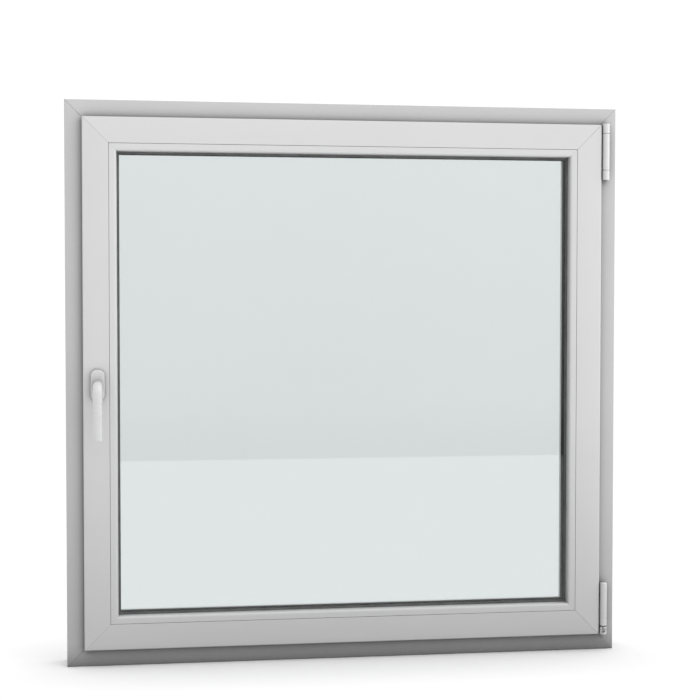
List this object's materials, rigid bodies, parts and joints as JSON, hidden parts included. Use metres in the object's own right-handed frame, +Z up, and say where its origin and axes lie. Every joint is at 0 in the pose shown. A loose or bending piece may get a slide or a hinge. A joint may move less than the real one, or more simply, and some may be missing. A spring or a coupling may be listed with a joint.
{
  "type": "tilt and turn window",
  "caption": "Square white plastic tilt-and-turn window: fixed frame, inward-opening double-glazed sash, lever handle, corner hinges and perimeter locking gear.",
  "frame": {"origin": "middle of the fixed frame's bottom face", "axes": "+Z up, -Y towards the room, hinges on the +X side"},
  "size_m": [1.2, 0.153, 1.2],
  "materials": {
    "frame_upvc": "satin",
    "sash_upvc": "satin",
    "bead_upvc": "satin",
    "seal": "matt",
    "galvanised_steel": "dull",
    "zinc_plate": "satin",
    "steel": "satin",
    "hinge_cover": "satin",
    "handle_lacquer": "satin",
    "base_plastic": "matt",
    "glass": "clear",
    "spacer": "satin",
    "block_plastic": "matt"
  },
  "bodies": {
    "frame": {"frame_sill": "frame_upvc", "frame_head": "frame_upvc", "frame_jamb_left": "frame_upvc", "frame_jamb_right": "frame_upvc", "frame_steel": "galvanised_steel", "frame_gasket": "seal", "drain_caps": "frame_upvc", "strikers": "zinc_plate", "tilt_keeper": "zinc_plate", "striker_screws": "steel", "stay_bearing": "steel", "stay_bearing_caps": "hinge_cover", "bearing_screws": "steel", "pivot_bearing": "hinge_cover"},
    "turn_pin": {"stay_pin": "steel"},
    "sash": {"pivot_post": "steel", "sash_bottom": "sash_upvc", "sash_top": "sash_upvc", "sash_left": "sash_upvc", "sash_right": "sash_upvc", "sash_steel": "galvanised_steel", "sash_gasket": "seal", "bead_bottom": "bead_upvc", "bead_top": "bead_upvc", "bead_left": "bead_upvc", "bead_right": "bead_upvc", "glazing_gasket_inner": "seal", "glazing_gasket_outer": "seal", "glass_inner": "glass", "glass_outer": "glass", "edge_seal": "seal", "spacer_bar": "spacer", "setting_blocks": "block_plastic", "faceplate_lock": "zinc_plate", "faceplate_top": "zinc_plate", "faceplate_bottom": "zinc_plate", "corner_drives": "zinc_plate", "gear_case": "zinc_plate", "stay_guide": "zinc_plate", "corner_hinge": "steel", "corner_hinge_screws": "steel", "corner_hinge_cover": "hinge_cover", "handle_base": "base_plastic", "handle_rosette": "handle_lacquer", "handle_screws": "steel", "handle_detent": "zinc_plate"},
    "handle": {"handle_lever": "handle_lacquer", "handle_spindle": "zinc_plate", "gear_pinion": "zinc_plate"},
    "lock_rod": {"drive_rod_lock": "zinc_plate", "lock_side_cams": "steel"},
    "top_rod": {"drive_rod_top": "zinc_plate", "top_cam": "steel"},
    "bottom_rod": {"drive_rod_bottom": "zinc_plate", "bottom_cam": "steel"},
    "stay_arm": {"stay_arm": "steel", "stay_arm_cover": "hinge_cover", "stay_slider": "steel"}
  },
  "joints": [
    {"name": "sash_turn", "type": "hinge", "parent": "frame", "child": "turn_pin", "pos_m": [0.5735, -0.049, 0.043], "axis": [0, 0, 1], "range_deg": [0, 100]},
    {"name": "sash_tilt", "type": "hinge", "parent": "turn_pin", "child": "sash", "pos_m": [0.5735, -0.049, 0.043], "axis": [1, 0, 0], "range_deg": [0, 7.5]},
    {"name": "handle_turn", "type": "hinge", "parent": "sash", "child": "handle", "pos_m": [-0.533, -0.052, 0.6], "axis": [0, -1, 0], "range_deg": [0, 180]},
    {"name": "lock_rod_slide", "type": "slide", "parent": "sash", "child": "lock_rod", "axis": [0, 0, 1], "range_m": [0, 0.0237]},
    {"name": "top_rod_slide", "type": "slide", "parent": "sash", "child": "top_rod", "axis": [1, 0, 0], "range_m": [0, 0.0237]},
    {"name": "bottom_rod_slide", "type": "slide", "parent": "sash", "child": "bottom_rod", "axis": [-1, 0, 0], "range_m": [0, 0.0237]},
    {"name": "stay_swing", "type": "hinge", "parent": "turn_pin", "child": "stay_arm", "pos_m": [0.5735, -0.049, 1.1], "axis": [0, 0, 1], "range_deg": [0, 18.7]}
  ],
  "couplings": [
    {"joint": "lock_rod_slide", "follows": "handle_turn", "m_per_rad": 0.0075},
    {"joint": "top_rod_slide", "follows": "handle_turn", "m_per_rad": 0.0075},
    {"joint": "bottom_rod_slide", "follows": "handle_turn", "m_per_rad": 0.0075},
    {"joint": "stay_swing", "follows": "sash_tilt", "ratio": 2.473}
  ]
}
